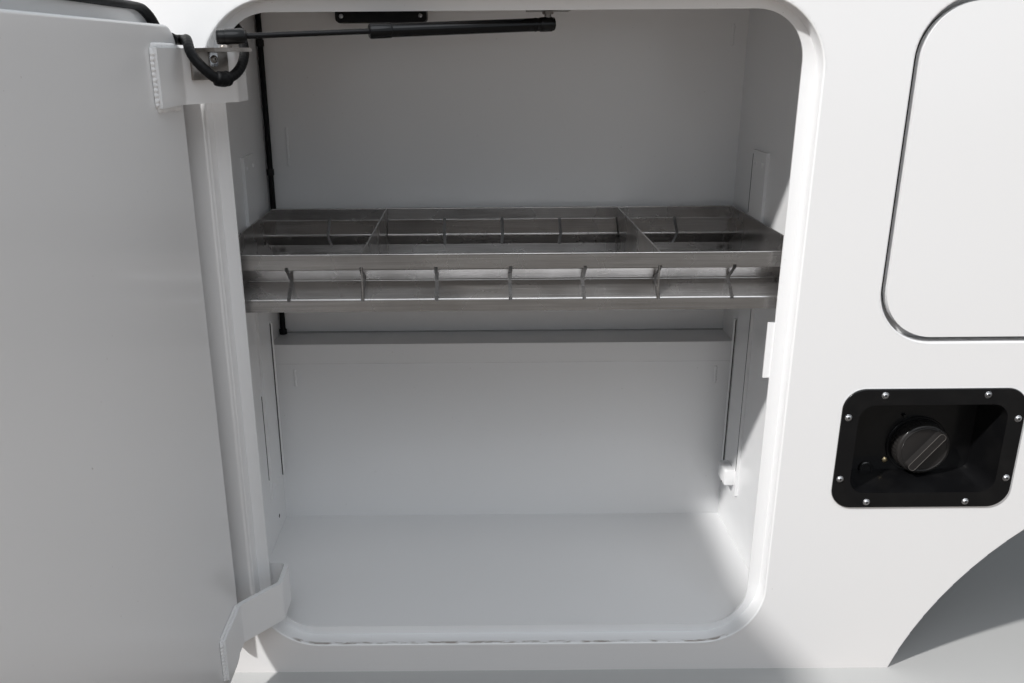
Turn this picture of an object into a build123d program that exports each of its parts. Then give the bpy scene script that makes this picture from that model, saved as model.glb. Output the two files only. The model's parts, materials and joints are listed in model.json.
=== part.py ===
from build123d import *
import os
from math import atan2, degrees, radians, tan

# Side pack of a service truck body, in millimetres.
# X runs towards the rear of the truck, Y runs inwards from the outer face, Z is up.
# X = 0 is the middle of the front compartment, Y = 0 the outer face, Z = 0 its bottom edge.

# Body
sheet = 3.0
seat_gap = 0.3
body_height = 978.0
body_depth = 412.0
sill_flange = 30.0
edge_roll = 2.2

# Compartments
floor_rise = 55.0
ledge_rise = 46.0
ledge_depth = 65.0
ledge_lip = 34.0
wall_margin = 32.0
end_margin = 76.0

# Openings in the face, the posts between them and the header above them
front_width = 708.0
tall_bottom = 46.0
header_depth = 77.0
tall_radius = 85.0
front_post = 102.5
middle_width = 1013.0
middle_sill_rise = 110.0
middle_radius = 70.0
rear_post = 103.5
rear_width = 410.0
jamb_depth = 24.0
lip_side = 16.0
lip_end = 13.0
lip_radius_cut = 27.0
floor_step = 2.0

# Wheel arch
arch_offset = 51.0
arch_centre_drop = 161.0
arch_radius = 497.0
arch_lip_depth = 25.0
arch_gap = 0.3
liner_radius = arch_radius + sheet + arch_gap

# Door leaves
door_gap = 7.0
skin_sheet = 2.5
edge_depth = 13.0
pan_rise = 23.0
door_depth = edge_depth + pan_rise
pan_margin = 22.0
pan_radius = 30.0
pan_roll = 3.0
seal_inset = 1.5
seal_width = 7.0
seal_gap = 0.6
handle_inset = 62.0
handle_width = 68.0
handle_height = 118.0
handle_corner = 12.0
handle_plate = 2.0
handle_frame = 18.0
paddle_height = 84.0
paddle_rise = 7.0

# Gooseneck hinges, measured from the pin
hinge_outset = 34.0
hinge_depth = 11.0
arm_bar = 6.0
arm_height = 58.0
arm_back = 30.0
arm_reach = 72.0
arm_knee = 21.0
arm_foot_start = 71.0
arm_foot_end = 146.0
arm_foot_depth = door_depth + arm_bar / 2 - hinge_depth
arm_bend = 9.0
arm_inset = 52.0
middle_arm_inset = 110.0
knuckle_radius = 6.5
pin_radius = 4.0
pin_clearance = 0.05
bracket_sheet = 5.0
bracket_gap = 1.0
bracket_tail = 9.0
pocket_depth = 97.0
front_open_angle = 90.0

# Tray
tray_side_gap = 5.0
tray_front = 44.0
tray_depth = 351.0
tray_bottom = 525.0
tray_height = 75.0
tray_sheet = 1.6
bead_depth = 26.0
bead_height = 40.0
bead_base = 15.8
slot_width = 4.6
slot_count = 7
divider_sheet = 1.5
divider_slot = 2
bend_radius = 2.0
slot_overrun = 3.0
clip_inset = 24.0
clip_drop = 18.0
clip_reach = 18.0
clip_sheet = 2.0
clip_width = 24.0
doubler_sheet = 4.7
doubler_front = 250.0
doubler_width = 65.0
doubler_bottom = 142.0
doubler_height = 558.0
striker_width = 16.0
striker_height = 75.0
striker_sheet = 3.0
middle_striker_rise = 10.0

# Gas strut
strut_radius = 7.5
rod_radius = 3.0
tube_start = 15.0
tube_length = 200.0
bore_start = 20.0
stroke_room = 50.0
fitting_radius = 7.5
fitting_length = 29.0
fitting_end = 9.0
header_ball_along = 397.0
header_ball_depth = 59.0
header_ball_drop = 27.3
arm_ball_reach = 79.0
arm_ball_along = 71.0
arm_ball_rise = 11.0
fitting_chamfer = 1.2
stud_radius = 4.0
stud_rise = 3.0
drift_gap = 0.5
header_plate_width = 50.0
header_plate_depth = 48.0
angle_length = 45.0
angle_leg = 50.0
angle_drop = 33.0
angle_sheet = 4.0

# Wiring
box_along = 100.0
box_width = 138.0
box_height = 70.0
box_depth = 45.0
box_corner = 6.0
loom_radius = 4.5
loom_gap = 2.2
loom_bend = 24.0
grommet_height = 8.0

# Door cable, from the front pan's hinge side to the side liner, with its route in points
cable_radius = 5.5
run_share = 0.45

# How closely an edge must match a size to be picked out by it
match_tolerance = 0.1
cable_route = [
    (-369.0, -52.0, 858.0),
    (-369.0, -37.0, 858.0),
    (-358.0, -33.0, 858.5),
    (-351.0, -55.5, 858.5),
    (-344.0, -79.0, 843.0),
    (-334.0, -86.0, 826.0),
    (-318.0, -80.0, 815.0),
    (-302.0, -62.0, 820.0),
    (-292.0, -40.0, 834.0),
    (-294.0, -15.0, 848.0),
    (-303.0, 10.0, 858.0),
    (-316.0, 38.0, 866.0),
    (-331.0, 68.0, 876.0),
    (-346.0, 98.0, 885.0),
    (-366.0, 118.0, 890.0),
    (-386.0, 118.0, 890.0),
]

# Mounting plates on the back
mount_rise = 130.0
mount_span_x = 300.0
mount_span_z = 90.0
mount_hole_radius = 6.5
mount_edge = 25.0
mount_corner = 10.0
mount_plate = 6.0

# Fuel filler pocket
pocket_along = 73.0
pocket_bottom = 260.0
pocket_roll = 1.5
pocket_width = 237.0
pocket_height = 170.0
pocket_corner = 28.0
pocket_rim = 22.0
pocket_well = 55.0
pocket_wall = 3.0
cap_radius = 36.0
cap_along = 133.0
cap_rise = 68.0
neck_radius = 25.4
neck_length = 70.0
neck_bore = 22.0
neck_flange = 3.0
mouth_corner = 24.0
pocket_taper = 8.0
cap_thickness = 20.0
cap_roll = 4.0
grip_angle = 52.0
grip_width = 13.0
grip_margin = 3.0
grip_corner = 5.5
grip_rise = 9.0
plug_length = 18.0

# Derived places, along the body
front_left = -front_width / 2
front_right = front_width / 2
middle_left = front_right + front_post
rear_left = middle_left + middle_width + rear_post
body_front = front_left - end_margin
body_end = rear_left + rear_width + end_margin
body_length = body_end - body_front
front_partition = front_right + wall_margin
rear_partition = rear_left - end_margin - sheet
arch_centre_x = middle_left + middle_width / 2 + arch_offset
pocket_left = front_right + pocket_along
cap_x = pocket_left + cap_along
mount_places = (0.0, rear_left + rear_width / 2)

# Derived heights
opening_top = body_height - header_depth
tall_height = opening_top - tall_bottom
roof_under = body_height - sheet
ledge_height = arch_radius - arch_centre_drop + ledge_rise
middle_bottom = ledge_height + middle_sill_rise
floor_top = floor_rise + sheet
middle_floor = middle_bottom + lip_end - floor_step - sheet
lip_top = opening_top - lip_end
mount_z = ledge_height + mount_rise
cap_z = pocket_bottom + cap_rise

# Derived depths and sizes
lip_back = jamb_depth + sheet
back_inner = body_depth - sheet
lower_back = body_depth - sheet - ledge_depth
tray_width = front_width + 2 * (wall_margin - tray_side_gap)
slot_pitch = tray_width / (slot_count + 1)
mouth = (pocket_width - 2 * pocket_rim, pocket_height - 2 * pocket_rim)

# Ball studs at the two ends of the gas strut
header_ball = (front_left + header_ball_along, header_ball_depth, opening_top - header_ball_drop)
arm_ball = (
    front_left - hinge_outset + arm_ball_reach,
    hinge_depth - arm_ball_along,
    opening_top - arm_inset + arm_ball_rise,
)

openings = {
    "front": (front_left, front_width, tall_bottom, tall_height, tall_radius),
    "middle": (middle_left, middle_width, middle_bottom, opening_top - middle_bottom, middle_radius),
    "rear": (rear_left, rear_width, tall_bottom, tall_height, tall_radius),
}


def at_depth(depth, x=0.0, z=0.0):
    """Upright plane parallel to the face, this far behind it, facing the street."""
    return Plane(origin=(x, depth, z), x_dir=(1, 0, 0), z_dir=(0, -1, 0))


def opening_plane(name, depth):
    left, width, bottom, height, radius = openings[name]
    return at_depth(depth, left + width / 2, bottom + height / 2)


def hinge_turn(name):
    """Turn that takes a closed leaf to the pose in which it is stored."""
    if name != "front":
        return Location((0, 0, 0))
    pin = (front_left - hinge_outset, hinge_depth, 0)
    back = (-pin[0], -pin[1], 0)
    return Location(pin) * Location((0, 0, 0), (0, 0, -front_open_angle)) * Location(back)


def leaf_plane(name, depth):
    """Plane this deep behind a leaf's outer skin, in the leaf's stored pose."""
    return Plane(hinge_turn(name) * opening_plane(name, depth).location)


def hinge_plane(name, along, turned=True):
    """Section plane across a leaf's hinge: first axis into the leaf, second into the body."""
    left, width, bottom, height, radius = openings[name]
    if name == "middle":
        pin = (left + along, hinge_depth, bottom + height + hinge_outset)
        section = Plane(origin=pin, x_dir=(0, 0, -1), z_dir=(1, 0, 0))
    else:
        pin = (left - hinge_outset, hinge_depth, bottom + along)
        section = Plane(origin=pin, x_dir=(1, 0, 0), z_dir=(0, 0, 1))
    return Plane(hinge_turn(name) * section.location) if turned else section


os.makedirs("parts", exist_ok=True)

# Outer face: one sheet with the door openings, the filler cut-out, the wheel arch and a sill flange
arch_plane = at_depth(0, arch_centre_x, -arch_centre_drop)
with BuildPart() as face_panel:
    with BuildSketch(at_depth(0, body_front)):
        Rectangle(body_length, body_height, align=(Align.MIN, Align.MIN))
    extrude(amount=-sheet)
    with BuildSketch(at_depth(0, body_front)):
        Rectangle(body_length, sheet, align=(Align.MIN, Align.MIN))
    extrude(amount=-sill_flange)
    with BuildSketch(arch_plane):
        Circle(arch_radius + sheet)
    extrude(amount=-sill_flange, mode=Mode.SUBTRACT)
    with BuildSketch(arch_plane):
        Circle(arch_radius + sheet)
        Circle(arch_radius, mode=Mode.SUBTRACT)
        with Locations((0, arch_centre_drop)):
            Rectangle(3 * arch_radius, 3 * arch_radius, align=(Align.CENTER, Align.MIN), mode=Mode.INTERSECT)
    extrude(amount=-arch_lip_depth)
    for name, (left, width, bottom, height, radius) in openings.items():
        with BuildSketch(opening_plane(name, 0)):
            RectangleRounded(width + 2 * sheet, height + 2 * sheet, radius + sheet)
        extrude(amount=-sheet, mode=Mode.SUBTRACT)
    with BuildSketch(at_depth(0, pocket_left + pocket_width / 2, pocket_bottom + pocket_height / 2)):
        RectangleRounded(*[size + 2 * (pocket_wall + seat_gap) for size in mouth], mouth_corner)
    extrude(amount=-sheet, mode=Mode.SUBTRACT)
    rims = face_panel.edges().filter_by(GeomType.CIRCLE).group_by(Axis.Y)[0]
    fillet(rims.filter_by(lambda edge: abs(edge.radius - arch_radius) < match_tolerance), radius=edge_roll)
face_panel.part.label = "face_panel"
export_step(face_panel.part, "parts/face_panel.step")

# Door frames: the recess that each leaf closes into, with a sealing lip at its back
for name, (left, width, bottom, height, radius) in openings.items():
    with BuildPart() as door_frame:
        with BuildSketch(opening_plane(name, 0)):
            RectangleRounded(width + 2 * sheet, height + 2 * sheet, radius + sheet)
            RectangleRounded(width, height, radius, mode=Mode.SUBTRACT)
        extrude(amount=-jamb_depth)
        with BuildSketch(opening_plane(name, jamb_depth)):
            RectangleRounded(width + 2 * sheet, height + 2 * sheet, radius + sheet)
            clear = (width - 2 * lip_side, height - 2 * lip_end)
            RectangleRounded(*clear, radius - lip_radius_cut, mode=Mode.SUBTRACT)
        extrude(amount=-sheet)
        front_edges = door_frame.edges().group_by(Axis.Y)[0]
        inner_edges = front_edges.filter_by(
            lambda edge: edge.geom_type == GeomType.CIRCLE and abs(edge.radius - radius) < match_tolerance
            or edge.geom_type == GeomType.LINE and (
                abs(abs(edge.center().X - left - width / 2) - width / 2) < match_tolerance
                or abs(abs(edge.center().Z - bottom - height / 2) - height / 2) < match_tolerance))
        fillet(inner_edges, radius=edge_roll)
    door_frame.part.label = f"{name}_door_frame"
    export_step(door_frame.part, f"parts/{name}_door_frame.step")

# Roof, and the back: an upper sheet that steps forward as a ledge and laps a lower sheet
with BuildPart() as roof_panel:
    with BuildSketch(Plane.XY.offset(roof_under)):
        with Locations((body_front, sheet)):
            Rectangle(body_length, body_depth - sheet, align=(Align.MIN, Align.MIN))
    extrude(amount=sheet)
roof_panel.part.label = "roof_panel"
export_step(roof_panel.part, "parts/roof_panel.step")

with BuildPart() as upper_back:
    with BuildSketch(Plane.YZ.offset(body_front)):
        with BuildLine():
            Polyline(
                (lower_back, ledge_height - ledge_lip),
                (lower_back - sheet, ledge_height - ledge_lip),
                (lower_back - sheet, ledge_height),
                (back_inner, ledge_height),
                (back_inner, roof_under),
                (body_depth, roof_under),
                (body_depth, ledge_height - sheet),
                (lower_back, ledge_height - sheet),
                close=True,
            )
        make_face()
    extrude(amount=body_length)
    for plate_x in mount_places:
        with BuildSketch(at_depth(back_inner, plate_x, mount_z)):
            with GridLocations(mount_span_x, mount_span_z, 2, 2):
                Circle(mount_hole_radius)
        extrude(amount=-sheet, mode=Mode.SUBTRACT)
upper_back.part.label = "upper_back"
export_step(upper_back.part, "parts/upper_back.step")

with BuildPart() as lower_back_sheet:
    with BuildSketch(at_depth(lower_back, body_front)):
        Rectangle(body_length, ledge_height - sheet, align=(Align.MIN, Align.MIN))
    extrude(amount=-sheet)
    with BuildSketch(at_depth(lower_back, arch_centre_x, -arch_centre_drop)):
        Circle(liner_radius + sheet + arch_gap)
    extrude(amount=-sheet, mode=Mode.SUBTRACT)
lower_back_sheet.part.label = "lower_back"
export_step(lower_back_sheet.part, "parts/lower_back.step")

# Mounting plates on the back, above the ledge, with their bolt holes
with BuildPart() as mounting_plates:
    for plate_x in mount_places:
        with BuildSketch(at_depth(body_depth, plate_x, mount_z)):
            RectangleRounded(mount_span_x + 2 * mount_edge, mount_span_z + 2 * mount_edge, mount_corner)
            with GridLocations(mount_span_x, mount_span_z, 2, 2):
                Circle(mount_hole_radius, mode=Mode.SUBTRACT)
        extrude(amount=-mount_plate)
mounting_plates.part.label = "mounting_plates"
export_step(mounting_plates.part, "parts/mounting_plates.step")

# Outline of a wall across the body, from the face to the stepped back
wall_outline = (
    (sheet, sheet),
    (lower_back, sheet),
    (lower_back, ledge_height - ledge_lip),
    (lower_back - sheet, ledge_height - ledge_lip),
    (lower_back - sheet, ledge_height),
    (back_inner, ledge_height),
    (back_inner, roof_under),
    (sheet, roof_under),
)

# End bulkheads, and the partitions between the compartments
with BuildPart() as end_bulkheads:
    for x in (body_front, body_end - sheet):
        with BuildSketch(Plane.YZ.offset(x)):
            with BuildLine():
                Polyline(*wall_outline, close=True)
            make_face()
        extrude(amount=sheet)
end_bulkheads.part.label = "end_bulkheads"
export_step(end_bulkheads.part, "parts/end_bulkheads.step")

with BuildPart() as partitions:
    for x in (front_partition, rear_partition):
        with BuildSketch(Plane.YZ.offset(x)):
            with BuildLine():
                Polyline(*wall_outline, close=True)
            make_face()
        extrude(amount=sheet)
partitions.part.label = "partitions"
export_step(partitions.part, "parts/partitions.step")

# Compartment floors
with BuildPart() as compartment_floors:
    floors = (
        # left, right, underside, back
        (body_front + sheet, front_partition, floor_rise, lower_back),
        (front_partition + sheet, rear_partition, middle_floor, back_inner),
        (rear_partition + sheet, body_end - sheet, floor_rise, lower_back),
    )
    for left, right, under, back in floors:
        with BuildSketch(Plane.XY.offset(under)):
            with Locations((left, lip_back)):
                Rectangle(right - left, back - lip_back, align=(Align.MIN, Align.MIN))
        extrude(amount=sheet)
compartment_floors.part.label = "compartment_floors"
export_step(compartment_floors.part, "parts/compartment_floors.step")

# Side liners: each turns out to the wall beside it, leaving room for the hinge arms
with BuildPart() as side_liners:
    for left, wall in ((front_left, body_front + sheet), (rear_left, rear_partition + sheet)):
        liner = left - wall_margin
        heights = (
            # bottom, top, back edge
            (floor_top, ledge_height - ledge_lip, lower_back),
            (ledge_height - ledge_lip, ledge_height, lower_back - sheet),
            (ledge_height, roof_under, back_inner),
        )
        for bottom, top, back in heights:
            with BuildSketch(Plane.XY.offset(bottom)):
                with BuildLine():
                    Polyline(
                        (wall, pocket_depth),
                        (liner, pocket_depth),
                        (liner, back),
                        (liner - sheet, back),
                        (liner - sheet, pocket_depth + sheet),
                        (wall, pocket_depth + sheet),
                        close=True,
                    )
                make_face()
            extrude(amount=top - bottom)
side_liners.part.label = "side_liners"
export_step(side_liners.part, "parts/side_liners.step")

# Wheel arch liner
with BuildPart() as arch_liner:
    with BuildSketch(at_depth(sheet, arch_centre_x, -arch_centre_drop)):
        Circle(liner_radius + sheet)
        Circle(liner_radius, mode=Mode.SUBTRACT)
        with Locations((0, arch_centre_drop + sheet)):
            Rectangle(3 * arch_radius, 3 * arch_radius, align=(Align.CENTER, Align.MIN), mode=Mode.INTERSECT)
    extrude(amount=-lower_back)
arch_liner.part.label = "arch_liner"
export_step(arch_liner.part, "parts/arch_liner.step")

# Doubler plates that carry the tray, on both side walls of the front compartment
with BuildPart() as wall_doublers:
    for x, amount in ((front_left - wall_margin, doubler_sheet), (front_partition, -doubler_sheet)):
        with BuildSketch(Plane.YZ.offset(x)):
            with Locations((doubler_front, doubler_bottom)):
                Rectangle(doubler_width, doubler_height, align=(Align.MIN, Align.MIN))
        extrude(amount=amount)
wall_doublers.part.label = "wall_doublers"
export_step(wall_doublers.part, "parts/wall_doublers.step")

# Tray: a floor with upturned ends, beaded and slotted rails front and back, and two dividers
with BuildPart() as tray_pan:
    with BuildSketch(Plane.XY.offset(tray_bottom)):
        with Locations((0, tray_front)):
            Rectangle(tray_width, tray_depth, align=(Align.CENTER, Align.MIN))
    extrude(amount=tray_sheet)
    with BuildSketch(Plane.XY.offset(tray_bottom + tray_sheet)):
        with Locations((0, tray_front)):
            Rectangle(tray_width, tray_depth, align=(Align.CENTER, Align.MIN))
            Rectangle(
                tray_width - 2 * tray_sheet, tray_depth, align=(Align.CENTER, Align.MIN), mode=Mode.SUBTRACT
            )
    extrude(amount=tray_height - tray_sheet)
tray_pan.part.label = "tray_pan"
export_step(tray_pan.part, "parts/tray_pan.step")

tray_back = tray_front + tray_depth
bead_bottom = tray_bottom + bead_base
slot_bottom = bead_bottom - bend_radius
slot_top = bead_bottom + bead_height + slot_overrun
for name, outer, inward in (("tray_front_rail", tray_front, 1), ("tray_back_rail", tray_back, -1)):
    skin = outer + inward * tray_sheet / 2
    with BuildPart() as tray_rail:
        with BuildSketch(Plane.YZ.offset(tray_sheet - tray_width / 2)):
            with BuildLine():
                FilletPolyline(
                    (skin, tray_bottom + tray_sheet),
                    (skin, bead_bottom),
                    (skin + inward * bead_depth, bead_bottom + bead_height / 2),
                    (skin, bead_bottom + bead_height),
                    (skin, tray_bottom + tray_height),
                    radius=bend_radius,
                )
            trace(line_width=tray_sheet)
        extrude(amount=tray_width - 2 * tray_sheet)
        with BuildSketch(Plane.YZ.offset(-slot_pitch * (slot_count - 1) / 2 - slot_width / 2)):
            with Locations((outer, (slot_bottom + slot_top) / 2)):
                Rectangle(3 * bead_depth, slot_top - slot_bottom)
        slot = extrude(amount=slot_width, mode=Mode.PRIVATE)
        with Locations([(slot_pitch * index, 0, 0) for index in range(slot_count)]):
            add(slot, mode=Mode.SUBTRACT)
    tray_rail.part.label = name
    export_step(tray_rail.part, f"parts/{name}.step")

with BuildPart() as tray_dividers:
    for side in (-1, 1):
        divider_x = side * divider_slot * slot_pitch
        with BuildSketch(Plane.YZ.offset(divider_x - divider_sheet / 2)):
            with Locations((tray_front + tray_depth / 2, tray_bottom + tray_sheet + seat_gap)):
                Rectangle(
                    tray_depth - 2 * (tray_sheet + seat_gap),
                    tray_height - tray_sheet - seat_gap,
                    align=(Align.CENTER, Align.MIN),
                )
        extrude(amount=divider_sheet)
tray_dividers.part.label = "tray_dividers"
export_step(tray_dividers.part, "parts/tray_dividers.step")

# Angle clips that the tray stands on
with BuildPart() as tray_clips:
    for side, wall in ((1, front_left - wall_margin), (-1, front_partition)):
        for clip_y in (tray_front + clip_inset, tray_back - clip_inset):
            with BuildSketch(Plane.XZ.offset(-clip_y)):
                with BuildLine():
                    Polyline(
                        (wall, tray_bottom - clip_drop),
                        (wall, tray_bottom - seat_gap),
                        (wall + side * clip_reach, tray_bottom - seat_gap),
                        (wall + side * clip_reach, tray_bottom - seat_gap - clip_sheet),
                        (wall + side * clip_sheet, tray_bottom - seat_gap - clip_sheet),
                        (wall + side * clip_sheet, tray_bottom - clip_drop),
                        close=True,
                    )
                make_face()
            extrude(amount=clip_width / 2, both=True)
tray_clips.part.label = "tray_clips"
export_step(tray_clips.part, "parts/tray_clips.step")

# Door leaves: outer skin, inner pan, bulb seal, hinge arms and handle, in the stored pose
for name, (left, width, bottom, height, radius) in openings.items():
    leaf = (width - 2 * door_gap, height - 2 * door_gap)
    leaf_radius = radius - door_gap
    pan = (leaf[0] - 2 * pan_margin, leaf[1] - 2 * pan_margin)
    with BuildPart() as door_skin:
        with BuildSketch(leaf_plane(name, 0)):
            RectangleRounded(*leaf, leaf_radius)
        extrude(amount=-edge_depth)
        with BuildSketch(leaf_plane(name, skin_sheet)):
            RectangleRounded(leaf[0] - 2 * skin_sheet, leaf[1] - 2 * skin_sheet, leaf_radius - skin_sheet)
        extrude(amount=-edge_depth, mode=Mode.SUBTRACT)
    door_skin.part.label = f"{name}_door_skin"
    export_step(door_skin.part, f"parts/{name}_door_skin.step")

    with BuildPart() as door_pan:
        with BuildSketch(leaf_plane(name, edge_depth - skin_sheet)):
            RectangleRounded(leaf[0] - 2 * skin_sheet, leaf[1] - 2 * skin_sheet, leaf_radius - skin_sheet)
        extrude(amount=-skin_sheet)
        with BuildSketch(leaf_plane(name, edge_depth)):
            RectangleRounded(*pan, pan_radius)
        extrude(amount=-pan_rise)
        if name == "front":
            rim = door_pan.edges().group_by(Axis.X)[-1]
        else:
            rim = door_pan.edges().group_by(Axis.Y)[-1]
        fillet(rim, radius=pan_roll)
        with BuildSketch(leaf_plane(name, 0)):
            RectangleRounded(pan[0] - 2 * skin_sheet, pan[1] - 2 * skin_sheet, pan_radius - skin_sheet)
        extrude(amount=skin_sheet - door_depth, mode=Mode.SUBTRACT)
    door_pan.part.label = f"{name}_door_pan"
    export_step(door_pan.part, f"parts/{name}_door_pan.step")

    seal_outer = (leaf[0] - 2 * seal_inset, leaf[1] - 2 * seal_inset)
    with BuildPart() as door_seal:
        with BuildSketch(leaf_plane(name, edge_depth)):
            RectangleRounded(*seal_outer, leaf_radius - seal_inset)
            RectangleRounded(
                seal_outer[0] - 2 * seal_width,
                seal_outer[1] - 2 * seal_width,
                leaf_radius - seal_inset - seal_width,
                mode=Mode.SUBTRACT,
            )
        extrude(amount=edge_depth + seal_gap - jamb_depth)
    door_seal.part.label = f"{name}_door_seal"
    export_step(door_seal.part, f"parts/{name}_door_seal.step")

    span = width if name == "middle" else height
    inset = middle_arm_inset if name == "middle" else arm_inset
    arm_starts = {"lower": inset, "upper": span - inset - arm_height}
    if name != "front":
        arm_groups = {f"{name}_hinge_arms": list(arm_starts.values())}
    else:
        arm_groups = {f"front_{end}_arm": [start] for end, start in arm_starts.items()}
    for node, starts in arm_groups.items():
        with BuildPart() as hinge_arms:
            for start in starts:
                with BuildSketch(hinge_plane(name, start)):
                    with BuildLine():
                        FilletPolyline(
                            (0, 0),
                            (-arm_back, 0),
                            (-arm_back, arm_reach),
                            (arm_knee, arm_reach),
                            (arm_foot_start, arm_foot_depth),
                            (arm_foot_end, arm_foot_depth),
                            radius=arm_bend,
                        )
                    trace(line_width=arm_bar)
                    Circle(knuckle_radius)
                    Circle(pin_radius + pin_clearance, mode=Mode.SUBTRACT)
                extrude(amount=arm_height)
        hinge_arms.part.label = node
        export_step(hinge_arms.part, f"parts/{node}.step")

    if name == "middle":
        handle_place = (0, -leaf[1] / 2 + handle_inset)
    else:
        handle_place = (leaf[0] / 2 - handle_inset, 0)
    with BuildPart() as door_handle:
        with BuildSketch(leaf_plane(name, 0)):
            with Locations(handle_place):
                RectangleRounded(handle_width, handle_height, handle_corner)
        extrude(amount=handle_plate)
        with BuildSketch(leaf_plane(name, -handle_plate)):
            with Locations(handle_place):
                RectangleRounded(handle_width - handle_frame, paddle_height, handle_corner / 2)
        extrude(amount=paddle_rise, taper=20)
    door_handle.part.label = f"{name}_door_handle"
    export_step(door_handle.part, f"parts/{name}_door_handle.step")

# Hinge brackets on the body: a plate above and below each arm, with the pin between them
with BuildPart() as hinge_brackets:
    for name, (left, width, bottom, height, radius) in openings.items():
        span = width if name == "middle" else height
        inset = middle_arm_inset if name == "middle" else arm_inset
        for start in (inset, span - inset - arm_height):
            low = start - bracket_gap - bracket_sheet
            with BuildSketch(hinge_plane(name, low, turned=False)):
                Circle(pin_radius)
            extrude(amount=arm_height + 2 * (bracket_gap + bracket_sheet))
            for plate in (low, start + arm_height + bracket_gap):
                with BuildSketch(hinge_plane(name, plate, turned=False)):
                    with Locations((-bracket_tail, sheet - hinge_depth)):
                        Rectangle(
                            bracket_tail + hinge_outset - sheet,
                            lip_back - sheet,
                            align=(Align.MIN, Align.MIN),
                        )
                extrude(amount=bracket_sheet)
hinge_brackets.part.label = "hinge_brackets"
export_step(hinge_brackets.part, "parts/hinge_brackets.step")

# Striker tabs that the latches close on, behind each frame's free side
with BuildPart() as strikers:
    for name, (left, width, bottom, height, radius) in openings.items():
        if name == "middle":
            place = (0, middle_floor + sheet - bottom - height / 2 + middle_striker_rise / 2)
            tab = (striker_height, middle_striker_rise)
        else:
            place = (width / 2 - lip_side, 0)
            tab = (striker_width, striker_height)
        with BuildSketch(opening_plane(name, lip_back)):
            with Locations(place):
                Rectangle(*tab)
        extrude(amount=-striker_sheet)
strikers.part.label = "strikers"
export_step(strikers.part, "parts/strikers.step")

# Gas strut between the header and the front door's upper arm
strut_run = Vector(*arm_ball) - Vector(*header_ball)
strut_line = Plane(origin=header_ball, x_dir=(0, 0, 1), z_dir=strut_run)
with BuildPart() as strut_bracket:
    with BuildSketch(Plane.XY.offset(lip_top)):
        with Locations((header_ball[0], lip_back)):
            Rectangle(header_plate_width, header_plate_depth, align=(Align.CENTER, Align.MIN))
    extrude(amount=bracket_sheet)
    with BuildSketch(Plane.XY.offset(header_ball[2] - stud_radius)):
        with Locations(header_ball[:2]):
            Circle(stud_radius)
    extrude(amount=lip_top - header_ball[2] + stud_radius)
strut_bracket.part.label = "strut_header_bracket"
export_step(strut_bracket.part, "parts/strut_header_bracket.step")

with BuildPart() as strut_cylinder:
    with BuildSketch(strut_line.offset(tube_start)):
        Circle(strut_radius)
    extrude(amount=tube_length)
    with BuildSketch(strut_line.offset(-fitting_radius)):
        Circle(fitting_radius)
    extrude(amount=tube_start + fitting_radius)
    chamfer(strut_cylinder.edges().filter_by(GeomType.CIRCLE).sort_by(Axis.X)[0], length=fitting_chamfer)
    with BuildSketch(strut_line.offset(tube_start + bore_start)):
        Circle(rod_radius + pin_clearance)
    extrude(amount=tube_length, mode=Mode.SUBTRACT)
    with BuildSketch(Plane.XY.offset(header_ball[2] - stud_radius - 1)):
        with Locations(header_ball[:2]):
            Circle(stud_radius + pin_clearance)
    extrude(amount=2 * fitting_radius, mode=Mode.SUBTRACT)
strut_cylinder.part.label = "strut_cylinder"
export_step(strut_cylinder.part, "parts/strut_cylinder.step")

with BuildPart() as strut_rod:
    with BuildSketch(strut_line.offset(tube_start + bore_start + stroke_room)):
        Circle(rod_radius)
    extrude(amount=strut_run.length - tube_start - bore_start - stroke_room)
    with BuildSketch(strut_line.offset(strut_run.length + fitting_end - fitting_length)):
        Circle(fitting_radius)
    extrude(amount=fitting_length)
    chamfer(strut_rod.edges().filter_by(GeomType.CIRCLE).sort_by(Axis.X)[0], length=fitting_chamfer)
strut_rod.part.label = "strut_rod"
export_step(strut_rod.part, "parts/strut_rod.step")

# Angle on the upper arm's slanting run, which carries the strut's other ball stud
angle_top = arm_ball[2] - fitting_radius - drift_gap - stud_rise
angle_centre = ((arm_knee + arm_foot_start) / 2, (arm_reach + arm_foot_depth) / 2)
angle_turn = degrees(atan2(arm_foot_depth - arm_reach, arm_foot_start - arm_knee))
on_slant = Location((*angle_centre, 0), (0, 0, angle_turn))
with BuildPart() as strut_arm_angle:
    for low, leg, rise in (
        (angle_top - angle_drop, angle_sheet, angle_drop),
        (angle_top - angle_sheet, angle_leg, angle_sheet),
    ):
        with BuildSketch(hinge_plane("front", low - tall_bottom)):
            with Locations(on_slant * Location((0, arm_bar / 2, 0))):
                Rectangle(angle_length, leg, align=(Align.CENTER, Align.MIN))
        extrude(amount=rise)
    with BuildSketch(Plane.XY.offset(angle_top)):
        with Locations(arm_ball[:2]):
            Circle(stud_radius)
    extrude(amount=stud_rise)
strut_arm_angle.part.label = "strut_arm_angle"
export_step(strut_arm_angle.part, "parts/strut_arm_angle.step")

# Junction box under the roof, level with the sealing lip's top, with the wiring loom that runs down the back corner
box_left = front_left + box_along
loom_z = lip_top + box_height / 2
with BuildPart() as junction_box:
    with BuildSketch(Plane.XY.offset(lip_top)):
        with Locations((box_left, back_inner)):
            Rectangle(box_width, box_depth, align=(Align.MIN, Align.MAX))
    extrude(amount=box_height)
    fillet(junction_box.edges().filter_by(Axis.Y), radius=box_corner)
junction_box.part.label = "junction_box"
export_step(junction_box.part, "parts/junction_box.step")

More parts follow.
